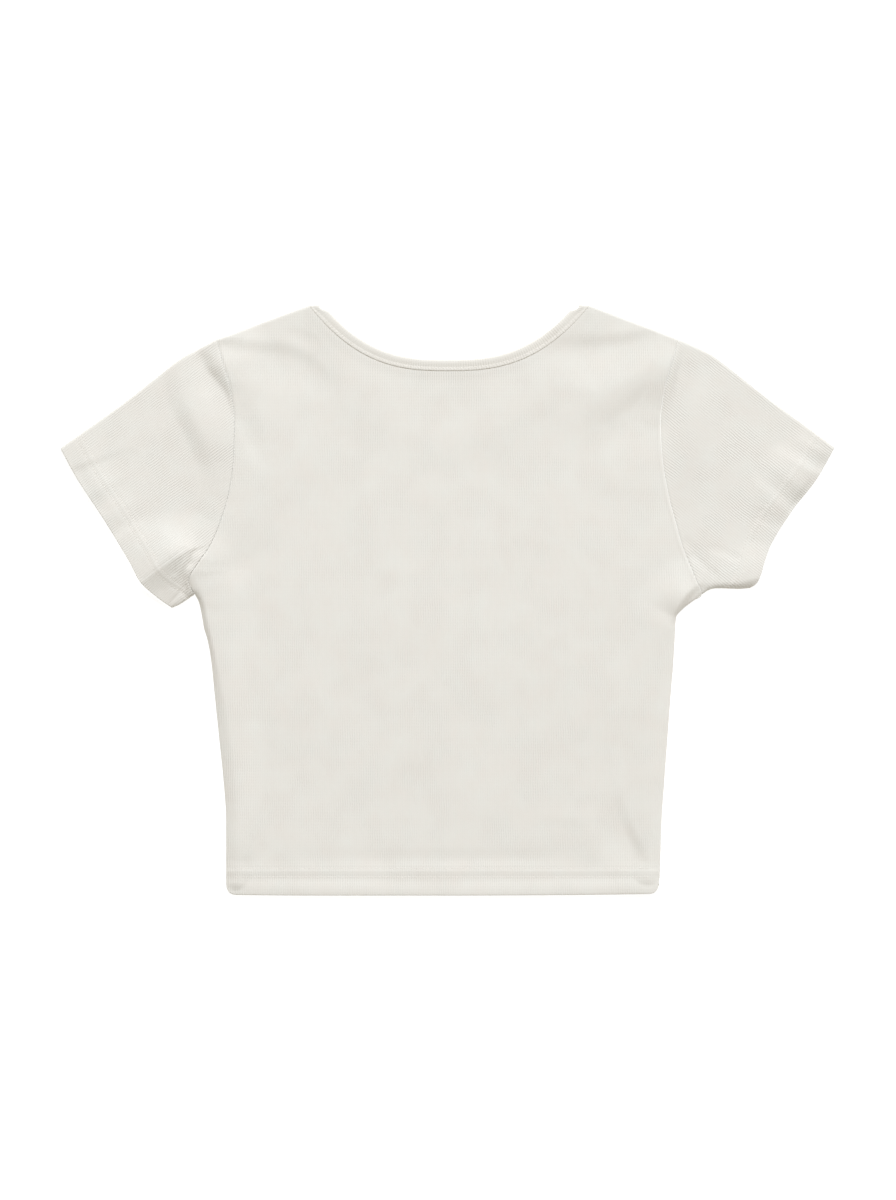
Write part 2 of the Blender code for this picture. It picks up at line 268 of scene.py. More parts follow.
# name, shape, crest as (x, y, height, reach on its left, reach on its right)
folds = [
    ("left underarm ridge", "pressed fold", [
        (-232.2, 239.6, 3, 44, 14), (-225.4, 245.2, 3.4, 44, 14),
        (-219.3, 250, 4, 44, 18), (-207.8, 257.4, 5.2, 40, 28),
        (-200.2, 261.8, 5.4, 34, 28), (-193.3, 264.8, 4.4, 26, 12),
        (-186, 266.6, 2.6, 22, 7)]),
    ("left underarm puffs", "puff", [
        (-184, 286, 0.3, 30, 7), (-186.4, 276, 1.3, 34, 7),
        (-188.2, 267, 2.6, 38, 8), (-189.8, 258.6, 4.2, 42, 13),
        (-190.8, 252.5, 4.6, 44, 10.5), (-191.8, 247.6, 5, 44, 14),
        (-191.8, 243, 4.8, 44, 13), (-190, 238, 4.6, 44, 14),
        (-187, 232.8, 4.3, 44, 13), (-184.5, 228, 3.6, 44, 10)]),
    ("left side, rolled", "soft", [
        (-187.4, 232.8, 3.9, 44, 6), (-186.2, 226, 3.7, 43, 4.4),
        (-184.2, 218, 3.5, 42, 4), (-181.8, 205, 3.4, 40, 4.2),
        (-178.4, 190, 3.2, 38, 4.6), (-172.6, 165, 2.9, 34, 7),
        (-164.8, 120, 2.6, 26, 9.5), (-159.8, 70, 2.8, 21, 10),
        (-159.5, 40, 2.8, 16, 10), (-160, 26, 2, 14, 9),
        (-160.5, 11, 1.8, 10, 8.5)]),
    ("right side, rolled", "soft", [
        (166, 204, 1.9, 9, 34), (163, 190, 1.7, 10, 32), (159, 140, 1.3, 12, 28),
        (154.5, 80, 1.5, 11, 20), (153, 34, 1.2, 9, 14), (152.5, 14, 1.5, 8.5, 12)]),
    ("right underarm ridge", "crease", [
        (172.4, 213, 1.2, 28, 3.8), (176.4, 221.5, 3.2, 32, 4.4),
        (181, 228.9, 3.4, 30, 5), (186.6, 234.8, 2.2, 28, 5.4),
        (192.5, 238.8, 1, 24, 5)]),
    ("right sleeve roll", "soft", [
        (199, 238.6, 1, 24, 6.5), (210, 239, 1.6, 28, 6.6),
        (222, 239.6, 2, 30, 7), (232.5, 241.8, 2.4, 32, 8)]),
    ("left sleeve, first drag", "soft", [
        (-202, 402, 1.4, 26, 17), (-198, 382, 2.2, 34, 17),
        (-192, 368, 2.7, 34, 16.5), (-185.4, 353, 2.8, 34, 16),
        (-180.6, 341, 2.2, 32, 16), (-176.8, 329, 1, 26, 15),
        (-173, 314, 0.3, 22, 14)]),
    ("left armhole, lifted", "soft", [
        (-173, 418, 3.6, 30, 21), (-169, 406, 4.8, 40, 20),
        (-165.8, 394, 3.6, 38, 13), (-163, 380, 1.8, 32, 7), (-161.4, 362, 0.3, 24, 6)]),
    ("right armhole, lifted", "soft", [
        (173.4, 419.5, 1.8, 9, 24), (169.2, 404, 3.2, 9.5, 26), (166, 388, 2.6, 9.5, 24),
        (163.4, 370, 0.8, 9, 20)]),
    ("right chest, lifted", "soft", [
        (166, 413, 1, 16, 30), (150.6, 403.4, 2.2, 21, 40), (133.1, 392.6, 2.4, 23, 42),
        (116.3, 381.2, 1.8, 22, 40), (98, 370, 0.5, 18, 34)]),
    ("right sleeve, swell", "soft", [
        (205, 392, 0.5, 20, 17), (197, 374, 1.1, 20, 17),
        (190, 350, 1.2, 20, 17), (184, 328, 0.8, 20, 15),
        (180, 308, 0.2, 18, 14)]),
    ("left cuff, curled", "soft", [
        (-278, 333, 0.3, 22, 9), (-264, 310, 0.6, 22, 9.5), (-252, 291, 0.2, 20, 9)]),
    ("right cuff, curled", "soft", [
        (280, 346, 0.8, 18, 18), (268, 328.5, 2.8, 24, 26),
        (256, 312.5, 3, 24, 28), (246, 297.5, 1.6, 20, 26), (240.5, 285, 0.3, 16, 20)]),
    ("left cuff wave", "soft", [(-243.7, 298.5, 0.3, 7, 8), (-265.5, 285, 0.5, 7, 8)]),
    ("waist ripple", "soft", [
        (76, 59.5, 0.15, 9, 7), (97, 58.6, 0.3, 10, 8), (116, 60, 0.1, 9, 7)]),
    ("hem, rolled", "soft", [
        (-156, 4.6, 0.5, 9, 9), (-60, 2.6, 0.7, 10, 8), (0, 2.4, 0.5, 9, 8),
        (70, 3, 0.6, 10, 8), (150, 4.6, 0.8, 10, 8)]),
]

# broad rises under all of them, in the same columns
swells = [
    ("body crown", "soft", [(-60, 200, 0.8, 150, 150), (60, 200, 0.8, 150, 150)]),
    ("left sleeve, raised", "soft", [
        (-232.2, 240, 4.4, 200, 38), (-219.3, 250.2, 5, 200, 38),
        (-207.8, 257.8, 4.6, 200, 36), (-200.2, 262.4, 3.2, 180, 30),
        (-190, 266, 1, 150, 18)]),
    ("right underarm, raised", "soft", [
        (178, 228, 1, 40, 30), (166, 224, 0.6, 40, 30)]),
    ("right sleeve, raised", "soft", [
        (196, 240, 0.4, 60, 16), (212, 240, 1.2, 60, 16), (232, 243, 1.6, 60, 16)]),
]

# soft troughs in the upper layer, in the same columns
troughs = [
    ("pressed line beside the ridge", "soft", [
        (-231, 241.6, 0.15, 1.8, 1.8), (-214, 254.2, 0.28, 1.8, 1.8),
        (-200, 264.6, 0.15, 1.8, 1.8)]),
    ("valley under the puffs", "soft", [
        (-199, 260, 0.3, 3, 8), (-203.6, 254, 0.5, 3, 9), (-207, 247, 0.4, 3, 9)]),
    ("left underarm seam", "crease", [
        (-212.4, 221.6, 0.3, 1.3, 1.3), (-206, 228.8, 0.4, 1.3, 1.3), (-199.6, 236.6, 0.2, 1.3, 1.3)]),
    ("left sleeve head", "soft", [(-184.5, 406, 0.7, 8, 12), (-180.5, 388, 0.5, 8, 12)]),
    ("left cuff crease", "soft", [
        (-282, 322.5, 0.8, 6, 18), (-265, 328.5, 0.65, 6, 18),
        (-244.5, 336, 0.25, 6, 14)]),
    ("left cuff, first pinch", "soft", [(-246.5, 310.6, 0.2, 8, 9), (-270.5, 296.8, 0.6, 8, 9)]),
    ("left cuff, second pinch", "soft", [(-236, 287.8, 0.3, 7, 9), (-258.5, 273.8, 0.5, 7, 9)]),
    ("left shoulder", "soft", [
        (-175, 419, 0.9, 8, 16), (-160, 414.5, 1.7, 11, 26), (-140, 412, 1.7, 12, 30),
        (-122, 409.5, 1.4, 12, 30), (-107, 402.5, 1, 11, 26),
        (-94, 392, 0.4, 9, 18)]),
    ("left shoulder, by the neck", "soft", [
        (-117, 428.5, 0.3, 6, 9), (-103.5, 424, 0.4, 6, 10)]),
    ("left body, by the armhole", "soft", [
        (-154, 368.6, 0.3, 10, 8), (-149, 347.3, 0.7, 12, 9), (-144.6, 332, 0.3, 10, 8)]),
    ("right shoulder", "soft", [
        (80, 417, 0.8, 12, 26), (104, 414.5, 1.8, 14, 32),
        (127.8, 417, 1.9, 13, 30), (146.8, 422, 1.2, 10, 22),
        (160, 426, 0.3, 8, 14)]),
    ("right body, from the armhole", "soft", [
        (174, 396, 0.4, 24, 12), (165, 384, 1.1, 30, 16),
        (154, 371.5, 1.7, 36, 20), (140.5, 359.5, 1.5, 36, 20),
        (123, 348, 1, 32, 18), (104, 339, 0.3, 24, 15)]),
    ("right cuff, pressed edge", "soft", [
        (290, 332, 0.3, 6, 6.5), (281.4, 316.8, 0.9, 6, 6.5), (272, 304.5, 1, 6, 6.5),
        (263.7, 293.9, 0.6, 6, 6.5), (256, 283, 0.2, 6, 6.5)]),
    ("right cuff, first pinch", "soft", [(257, 343, 0.3, 9, 8), (282.5, 328.5, 1.2, 11, 8)]),
    ("right cuff, second pinch", "soft", [(241, 318.5, 0.5, 12, 9), (265, 299.5, 1.6, 14, 11)]),
    ("right cuff, third pinch", "soft", [(239, 290, 0.2, 8, 7), (257, 279.5, 0.4, 9, 7)]),
    ("right sleeve, first drag", "soft", [(187.5, 258.4, 0.35, 5, 5), (203.5, 245, 0.25, 5, 5)]),
    ("right sleeve, second drag", "soft", [(182, 269, 0.3, 6, 5), (194.5, 255.5, 0.15, 6, 5)]),
    ("right sleeve, third drag", "soft", [(203, 264.5, 0.15, 6, 5), (220, 257.5, 0.3, 6, 5)]),
    ("low right drag", "soft", [
        (120.9, 97, 0.15, 10, 20), (124.4, 78, 0.5, 10, 26), (129.6, 59, 1.1, 10, 30),
        (136.6, 42, 1.6, 10, 28), (144, 30, 1, 9, 20), (149, 22, 0.2, 7, 12)]),
    ("low left drag", "soft", [(-151, 24, 0.25, 8, 8), (-141, 34, 0.2, 8, 8)]),
    ("above the hem", "soft", [
        (-110, 29.5, 0.2, 8, 8), (-75, 29, 0.2, 8, 8), (10, 28.5, 0.4, 8, 8),
        (60, 29.5, 0.3, 8, 8), (95, 30.5, 0.1, 8, 8)]),
    ("hem dent", "soft", [(-165, 12, 0.25, 7, 5), (-154, 12.5, 0.1, 7, 5)]),
]

# the front's own creases, pressed up from the table, so that it still rests flat
frontTroughs = [
    ("left front drag", "soft", [
        (-165, 236, 0.5, 7, 9), (-120, 300, 0.7, 7, 9), (-96, 330, 0.3, 7, 9)]),
    ("right front drag", "soft", [
        (160, 222, 0.4, 8, 6), (128, 276, 0.6, 8, 6), (118, 318, 0.2, 8, 6)]),
    ("waist crease", "soft", [
        (-150, 92, 0.3, 6, 8), (-70, 84, 0.5, 6, 8), (10, 96, 0.3, 6, 8)]),
    ("low crease", "soft", [(40, 60, 0.2, 7, 5), (120, 74, 0.45, 7, 5)]),
]

# broad unevenness of cloth laid by hand: wavelength, direction in degrees, phase, height
waves = [
    (128.0, 12.0, 0.4, 0.14), (97.0, 71.0, 2.1, 0.10), (74.0, 128.0, 4.4, 0.08),
    (61.0, 38.0, 1.2, 0.05), (46.0, 100.0, 5.3, 0.03), (37.0, 160.0, 3.0, 0.03),
]

overNeck = {"lift": 0.5, "reach": 30.0, "sag": 0.3}


def foldHeight(fold, x, y):
    name, shape, crest = fold
    crest = curveThrough(crest, np.linspace(0.0, 1.0, 3 * len(crest) - 2))
    most = crest[:, 3:].max()
    near = ((x > crest[:, 0].min() - most) & (x < crest[:, 0].max() + most)
            & (y > crest[:, 1].min() - most) & (y < crest[:, 1].max() + most))
    away, side, part = distanceTo(crest[:, :2], x[near], y[near])
    height, left, right = (np.interp(part, np.arange(len(crest)), crest[:, k]) for k in (2, 3, 4))
    toLeft = smooth((side + 1.0) / 2.0)
    reach = right + (left - right) * toLeft
    leftRound, leftEase, rightRound, rightEase = shapes[shape]
    roundness = rightRound + (leftRound - rightRound) * toLeft
    ease = rightEase + (leftEase - rightEase) * toLeft
    if min(leftRound, rightRound) < 1.5:
        away = np.hypot(away, 0.9) - 0.9    # even a crease turns over a little radius
    total = np.zeros(x.shape)
    total[near] = height * bell(away, reach, roundness, ease)
    return total


def wavesAt(x, y):
    total = np.zeros(x.shape)
    for wavelength, direction, phase, height in waves:
        angle = math.radians(direction)
        along = x * math.cos(angle) + y * math.sin(angle)
        total += height * np.sin(2 * math.pi * along / wavelength + phase)
    return total


def neckLift(x, y):
    # the back rises where it lies over the front's binding, and sags inside that neckline
    slope = (neckHeight(frontNeck, x + 1.0) - neckHeight(frontNeck, x - 1.0)) / 2.0
    away = (y - neckHeight(frontNeck, x)) / np.hypot(1.0, slope)
    beside = np.maximum(np.maximum(neckLeft - x, x - neckRight), 0.0)
    lift = overNeck["lift"] * (1.0 - smooth(np.hypot(away, beside) / overNeck["reach"]))
    sag = overNeck["sag"] * smooth(away / overNeck["reach"] - 0.6)
    return lift - np.where(beside > 0.0, 0.0, sag)


def hemThickness(y):
    high, low = hemSewing["step"]
    return np.clip((high - y) / (high - low), 0.0, 1.0) ** 1.6


def upperHeight(x, y, turned):
    # the upper layer's outer face. turned is 1 where the cloth is doubled by a hem or cuff
    wall = bodyCut["wall"] + (bodyCut["doubled"] - bodyCut["wall"]) * turned
    air = bodyCut["air"] * (1.0 - 0.7 * turned)
    raised = (sum(foldHeight(fold, x, y) ** 7 for fold in folds) ** (1.0 / 7.0)
              + sum(foldHeight(swell, x, y) for swell in swells))
    lowered = sum(foldHeight(trough, x, y) for trough in troughs)
    return 2.0 * wall + air + raised - lowered + wavesAt(x, y) + neckLift(x, y), wall


def layers(x, y, turned):
    # outer faces of the upper and the lower layer, drawn together at the rolled edges
    top, wall = upperHeight(x, y, turned)
    bottom = np.maximum(0.0, top - 2.0 * wall - bodyCut["mostAir"])
    middle, half = (top + bottom) / 2.0, (top - bottom) / 2.0
    roll = edgeRoll(x, y)
    return middle + half * roll, middle - half * roll, middle, half * roll


# Making a piece of cloth

def deselectAll():
    for thing in bpy.context.selected_objects:
        thing.select_set(False)


def clothPiece(name, points, flat, room, material, closed=False):
    # points and flat: rows of places and of their flat-pattern places, in millimetres.
    # room: how thick the wall may be at each, which is little where the other layer is close
    rows, columns = points.shape[:2]
    deselectAll()
    bpy.ops.mesh.primitive_grid_add(x_subdivisions=columns - 1, y_subdivisions=rows - 1, size=1.0)
    piece = bpy.context.object
    piece.name = piece.data.name = name
    mesh = piece.data
    place = np.empty(len(mesh.vertices) * 3)
    mesh.vertices.foreach_get("co", place)
    place = place.reshape(-1, 3)
    column = np.rint((place[:, 0] + 0.5) * (columns - 1)).astype(int)
    row = np.rint((place[:, 1] + 0.5) * (rows - 1)).astype(int)
    world = points * mm + np.array([0.0, hemLine, 0.0])
    mesh.vertices.foreach_set("co", world[row, column].ravel())
    corner = np.empty(len(mesh.loops), int)
    mesh.loops.foreach_get("vertex_index", corner)
    mesh.uv_layers[0].name = "flat pattern"
    mesh.uv_layers[0].data.foreach_set("uv", flat[row, column][corner].ravel())
    group = piece.vertex_groups.new(name="wall")
    shares = np.clip(room[row, column] / bodyCut["shown"], 0.12, 1.0)
    for index, share in enumerate(shares):
        group.add([index], float(share), "REPLACE")
    if closed:
        bpy.ops.object.mode_set(mode="EDIT")
        bpy.ops.mesh.select_all(action="SELECT")
        bpy.ops.mesh.remove_doubles(threshold=0.000001)
        bpy.ops.object.mode_set(mode="OBJECT")
    solidify = piece.modifiers.new("Wall", "SOLIDIFY")
    solidify.thickness = bodyCut["shown"] * mm
    solidify.offset = -1.0
    solidify.vertex_group = group.name
    bpy.ops.object.modifier_apply(modifier=solidify.name)
    bpy.ops.object.shade_smooth_by_angle(angle=math.radians(50.0))
    piece.data.materials.append(material)
    return piece


def reportPiece(piece):
    print(piece.name, "has", sum(len(face.vertices) - 2 for face in piece.data.polygons), "triangles")


# Materials

def linear(hexColour):
    channels = [int(hexColour[k:k + 2], 16) / 255.0 for k in (0, 2, 4)]
    return tuple(c / 12.92 if c <= 0.04045 else ((c + 0.055) / 1.055) ** 2.4 for c in channels) + (1.0,)


def addNode(tree, kind, settings=None, inputs=None, links=None):
    # inputs are values for sockets, links are (node, output) for sockets
    node = tree.nodes.new(kind)
    for key, value in (settings or {}).items():
        setattr(node, key, value)
    for key, value in (inputs or {}).items():
        node.inputs[key].default_value = value
    for key, (source, output) in (links or {}).items():
        tree.links.new(source.outputs[output], node.inputs[key])
    return node


def addMath(tree, operation, inputs=None, links=None):
    return addNode(tree, "ShaderNodeMath", {"operation": operation}, inputs, links)


def addNoise(tree, dimensions, inputs, source):
    return addNode(tree, "ShaderNodeTexNoise", {"noise_dimensions": dimensions}, inputs, {"Vector": source})


def addRange(tree, inputs, source):
    return addNode(tree, "ShaderNodeMapRange", {}, inputs, {"Value": source})


def addBump(tree, distance, height, under=None, strength=1.0):
    # under is the bump that this one lies on
    links = {"Height": height}
    if under:
        links["Normal"] = (under, "Normal")
    return addNode(tree, "ShaderNodeBump", {}, {"Strength": strength, "Distance": distance * mm}, links)


def emptyMaterial(name):
    material = bpy.data.materials.new(name)
    material.use_nodes = True
    material.node_tree.nodes.clear()
    return material, material.node_tree


knitLook = {
    "ribPitch": 1.75,       # from one rib to the next
    "loopPitch": 1.15,      # from one row of loops to the next
    "ribDepth": 0.17,
    "loopDepth": 0.03,
    "fuzzSize": 0.7,
    "fuzzDepth": 0.08,
    "mottleSize": 17.0,
    "fadeSize": 26.0,       # the ribs are pressed flatter in patches of about this size
}


def ribKnit(name, light, dark, paintedGrooveShade, pitch=knitLook["ribPitch"], depth=knitLook["ribDepth"]):
    # Fine rib jersey in undyed combed cotton, knitted and washed: matt, with soft vertical
    # ribs, a faint fuzz, an uneven cream cast from one patch to the next, and painted
    # shade that darkens the colour in the grooves between the ribs.
    material, tree = emptyMaterial(name)
    pattern = addNode(tree, "ShaderNodeUVMap", {"uv_map": "flat pattern"})
    apart = addNode(tree, "ShaderNodeSeparateXYZ", links={"Vector": (pattern, "UV")})
    placed = addNode(tree, "ShaderNodeTexCoord")

    # the ribs stand side by side, and each sways a little along its length
    sway = addNoise(tree, "2D", {"Scale": 1.0 / 18.0, "Detail": 2.0}, (pattern, "UV"))
    drift = addMath(tree, "MULTIPLY_ADD", {1: 1.6}, {0: (sway, "Fac"), 2: (apart, "X")})
    phase = addMath(tree, "MULTIPLY", {1: 2 * math.pi / pitch}, {0: (drift, "Value")})
    ribs = addMath(tree, "SINE", links={0: (phase, "Value")})
    patches = addNoise(tree, "2D", {"Scale": 1.0 / knitLook["fadeSize"], "Detail": 1.0}, (pattern, "UV"))
    fade = addRange(tree, {"From Min": 0.36, "From Max": 0.62, "To Min": 0.3, "To Max": 1.0},
                    (patches, "Fac"))
    standing = addMath(tree, "MULTIPLY", links={0: (ribs, "Value"), 1: (fade, "Result")})
    ribUp = addRange(tree, {"From Min": -1.0, "From Max": 1.0}, (standing, "Value"))

    # rows of loops cross the ribs, half a row apart from one side of a rib to the other
    loopPhase = addMath(tree, "MULTIPLY", {1: 2 * math.pi / knitLook["loopPitch"]}, {0: (apart, "Y")})
    loopTurn = addMath(tree, "MULTIPLY_ADD", {1: 1.4}, {0: (ribs, "Value"), 2: (loopPhase, "Value")})
    loops = addMath(tree, "SINE", links={0: (loopTurn, "Value")})

    fuzz = addNoise(tree, "2D", {"Scale": 1.0 / knitLook["fuzzSize"], "Detail": 3.0, "Roughness": 0.65},
                    (pattern, "UV"))
    mottle = addNoise(tree, "3D", {"Scale": 1000.0 / knitLook["mottleSize"], "Detail": 4.0,
                                   "Roughness": 0.55}, (placed, "Object"))

    # colour: cream where the noise is low, whiter where it is high, and darker between the ribs as painted
    # shade in their grooves
    cast = addNode(tree, "ShaderNodeValToRGB", links={"Fac": (mottle, "Fac")})
    cast.color_ramp.elements[0].position, cast.color_ramp.elements[1].position = 0.15, 0.85
    cast.color_ramp.elements[0].color, cast.color_ramp.elements[1].color = linear(dark), linear(light)
    # painted shade: the colour is scaled down towards the bottom of each groove between the ribs
    paintedGrooveDarkening = addRange(tree, {"To Min": paintedGrooveShade, "To Max": 1.0}, (ribUp, "Result"))
    castWithPaintedShade = addNode(tree, "ShaderNodeVectorMath", {"operation": "SCALE"},
                     links={0: (cast, "Color"), "Scale": (paintedGrooveDarkening, "Result")})

    ribBump = addBump(tree, depth, (ribUp, "Result"))
    loopBump = addBump(tree, knitLook["loopDepth"], (loops, "Value"), ribBump)
    fuzzBump = addBump(tree, knitLook["fuzzDepth"], (fuzz, "Fac"), loopBump)
    rough = addRange(tree, {"To Min": 0.82, "To Max": 0.96}, (fuzz, "Fac"))
    shader = addNode(tree, "ShaderNodeBsdfPrincipled", {},
                     {"IOR": 1.46, "Metallic": 0.0, "Specular IOR Level": 0.25,
                      "Sheen Weight": 0.05, "Sheen Roughness": 0.5},
                     {"Base Color": (castWithPaintedShade, "Vector"), "Roughness": (rough, "Result"),
                      "Normal": (fuzzBump, "Normal")})
    addNode(tree, "ShaderNodeOutputMaterial", links={"Surface": (shader, "BSDF")})
    return material


def sewingThread(name, colour):
    # Matt spun polyester thread, a shade whiter than the cloth, with its plies twisted round it
    material, tree = emptyMaterial(name)
    placed = addNode(tree, "ShaderNodeTexCoord")
    plies = addNode(tree, "ShaderNodeTexWave", {"bands_direction": "DIAGONAL"},
                    {"Scale": 0.314159 / 0.0004, "Distortion": 1.0}, {"Vector": (placed, "Object")})
    bump = addBump(tree, 0.06, (plies, "Fac"), strength=0.6)
    shader = addNode(tree, "ShaderNodeBsdfPrincipled", {},
                     {"Base Color": linear(colour), "Roughness": 0.7, "IOR": 1.5,
                      "Sheen Weight": 0.1},
                     {"Normal": (bump, "Normal")})
    addNode(tree, "ShaderNodeOutputMaterial", links={"Surface": (shader, "BSDF")})
    return material


# the fourth number is the painted shade in the rib grooves: the share of the colour left at the bottom of a
# groove
bodyKnit = ribKnit("fine rib cotton, body", "EAEAE3", "E9E5DD", 0.965)
sleeveKnit = ribKnit("fine rib cotton, sleeves", "EAEAE3", "E9E5DD", 0.945)
bindingKnit = ribKnit("fine rib cotton, binding", "EAE9E2", "E9E5DC", 0.965, pitch=1.9, depth=0.12)
thread = sewingThread("spun polyester thread", "EFEBE4")
print("materials made")


# The two panels

def acrossPlaces():
    # places across a panel, 0 at its left and 1 at its right, close together near both sides
    roll = 6.0 * (1.0 - np.cos(np.radians(np.arange(0.0, 90.1, 12.86))))
    near = np.concatenate([roll, np.arange(7.2, 41.0, 1.15)])
    middle = np.arange(42.6, (tipRight - tipLeft) / 2.0 - 1.0, 2.35)
    half = np.concatenate([near, middle])
    width = tipRight - tipLeft
    xs = tipLeft + np.concatenate([half, width - half[::-1]])
    for corner in (neckLeft, neckRight):
        xs[np.argmin(np.abs(xs - corner))] = corner
    return (xs - tipLeft) / width


def panelRows():
    # heights of a panel's rows, from just above the hem's fold to the shoulder tips
    roll = 3.8 * (1.0 - np.cos(np.radians(np.arange(0.0, 90.1, 15.0))))
    return np.concatenate([
        np.arange(0.6, 29.8, 0.95), np.arange(31.0, 196.0, 2.5), np.arange(197.0, 272.0, 1.2),
        np.arange(273.5, tipHeight - 8.0, 2.3), tipHeight - np.array([6.4, 5.0]),
        tipHeight - roll[::-1],
    ])


def hemEdge(x, left, right):
    riseLeft, riseRight = bodyCut["hemRise"]
    rise = (riseLeft * (np.maximum(-x - 100.0, 0.0) / (-left - 100.0)) ** 2
            + riseRight * (np.maximum(x, 0.0) / right) ** 2)
    corner = bodyCut["hemCorner"]
    cut = np.maximum(corner - np.minimum(x - left, right - x), 0.0)
    return rise + corner - np.sqrt(np.maximum(corner ** 2 - cut ** 2, 0.0))


def panelPlan(place, height, neck):
    left, right = bodyEdge(1, height), bodyEdge(2, height)
    x = left + place * (right - left)
    rise = topEdge(neck, tipLeft + place * (tipRight - tipLeft)) - tipHeight
    low = hemEdge(x, left, right) * np.clip(1.0 - height / 14.0, 0.0, 1.0)
    return x, height + rise * (height / tipHeight) ** 3 + low


def seamDip(height, x, y, neck):
    # how far the cloth is drawn down along the armhole seams and the neck seam
    dip = np.zeros(x.shape)
    above = smooth((height - bodyCut["underarm"] - 1.0) / 10.0)
    away = (x - bodyEdge(1, height), bodyEdge(2, height) - x)
    for away, groove, lip in zip(away, seamSewing["groove"], seamSewing["lip"]):
        dip += above * (groove * bell(away, 1.3, 1.2) - lip * bell(away - 1.7, 1.5))
    xs = np.linspace(neckLeft, neckRight, 200)
    slopeHere = np.interp(x, xs, np.gradient(neckHeight(neck, xs), xs))
    below = (neckHeight(neck, np.clip(x, neckLeft, neckRight)) - y) / np.hypot(1.0, slopeHere)
    inNeck = (x > neckLeft - 2.0) & (x < neckRight + 2.0)
    rise = seamSewing["neckRise"] * bell(np.maximum(below, 0.0), seamSewing["neckReach"])
    return dip - np.where(inNeck, rise, 0.0)


def hemDip(x, y):
    # the two rows of stitches pull narrow channels, with small puckers between the stitches
    pucker = 0.5 + 0.5 * np.sin(x * 0.83 + 1.3 * np.sin(x * 0.11)) * np.sin(x * 0.37 + 0.8)
    first, second = hemSewing["rows"]
    firstReach, below, above = hemSewing["reach"]
    firstPull, secondPull = hemSewing["pull"]
    reach = np.where(y > second, above, below)
    return (1.0 + pucker) * (firstPull * np.exp(-((y - first) / firstReach) ** 2)
                             + secondPull * np.exp(-((y - second) / reach) ** 2))


# a hem's or cuff's fold, in steps of its half turn
halfTurn = np.radians(np.arange(22.5, 179.0, 22.5))[:, None, None]


def foldRound(outerEdge, innerEdge, outwards):
    turn = bodyCut["doubled"] / 2.0
    return (outerEdge + (innerEdge - outerEdge) * (1.0 - np.cos(halfTurn)) / 2.0
            + outwards * np.sin(halfTurn) * turn)


def thinned(turned):
    # one layer's wall: pressed thinner where it is doubled
    return bodyCut["shown"] + (bodyCut["pressed"] - bodyCut["shown"]) * turned


def turnedRoom(room):
    pressed = bodyCut["pressed"]
    return np.clip(room - pressed - bodyCut["turnedClear"], bodyCut["turnedGap"], pressed)


def makePanel(name, neck, upper, material):
    places = acrossPlaces()
    heights = panelRows()
    place, height = np.meshgrid(places, heights)
    x, y = panelPlan(place, height, neck)
    turned = hemThickness(y)
    high, low, middle, room = layers(x, y, turned)
    dips = seamDip(height, x, y, neck) + hemDip(x, y)
    backGap, frontGap = bodyCut["leastGap"]
    if upper:
        z = np.maximum(high - dips, middle + backGap)
    else:
        for trough in frontTroughs:
            low = low + foldHeight(trough, x, y) * edgeRoll(x, y)
        z = np.maximum(np.minimum(low + dips, middle - frontGap), 0.0)
    outer = np.stack([x, y, z], axis=-1)

    # the hem: round its fold, then up inside on a second layer, short of the side seams
    inset = hemSewing["inset"]
    inside = np.concatenate([[heights[0]], np.arange(3.4, hemSewing["turned"], 2.3),
                             [hemSewing["turned"]]])
    placeIn, heightIn = np.meshgrid(places, inside)
    left, right = bodyEdge(1, heightIn), bodyEdge(2, heightIn)
    placeIn = inset / (right - left) + placeIn * (1.0 - 2.0 * inset / (right - left))
    xIn, yIn = panelPlan(placeIn, heightIn, neck)
    highIn, lowIn, middleIn, roomIn = layers(xIn, yIn, hemThickness(yIn))
    pulled = bodyCut["doubled"] + hemDip(xIn, yIn)
    zIn = (np.maximum(highIn - pulled, middleIn + bodyCut["turnedGap"]) if upper
           else np.minimum(lowIn + pulled, middleIn - bodyCut["turnedGap"]))
    inner = np.stack([xIn, yIn, zIn], axis=-1)
    fold = foldRound(outer[0], inner[0], np.array([0.0, -1.0, 0.0]))
    points = np.vstack([inner[::-1], fold[::-1], outer])
    outerRoom = np.minimum(np.abs(z - middle) - bodyCut["clear"], thinned(turned))
    foldRoom = np.broadcast_to(np.minimum(bodyCut["pressed"], room[0] + 0.1), fold.shape[:2])
    rooms = np.vstack([turnedRoom(roomIn)[::-1], foldRoom, outerRoom])
    flat = points[..., :2].copy()
    flat[:inner.shape[0], :, 1] *= -1.0
    if not upper:
        points, rooms, flat = points[:, ::-1], rooms[:, ::-1], flat[:, ::-1]
    piece = clothPiece(name, points, flat, rooms, material)
    reportPiece(piece)
    return piece, outer


backPanel, backOuter = makePanel("backPanel", backNeck, True, bodyKnit)
frontPanel, frontOuter = makePanel("frontPanel", frontNeck, False, bodyKnit)


# The sleeves

def sleeveParts():
    # places across a sleeve: 0 on its top fold and 1 on its underarm fold, closest at both
    roll = 0.028 * (1.0 - np.cos(np.radians(np.arange(0.0, 90.1, 15.0))))
    return np.concatenate([roll, np.arange(0.036, 0.62, 0.0105), np.arange(0.622, 0.966, 0.0044),
                           1.0 - roll[::-1]])


def sleeveStations():
    return np.concatenate([[0.0, 0.005, 0.012, 0.021, 0.032], np.arange(0.045, 0.79, 0.0135),
                           np.arange(0.80, 0.9999, 0.0085), [1.0]])


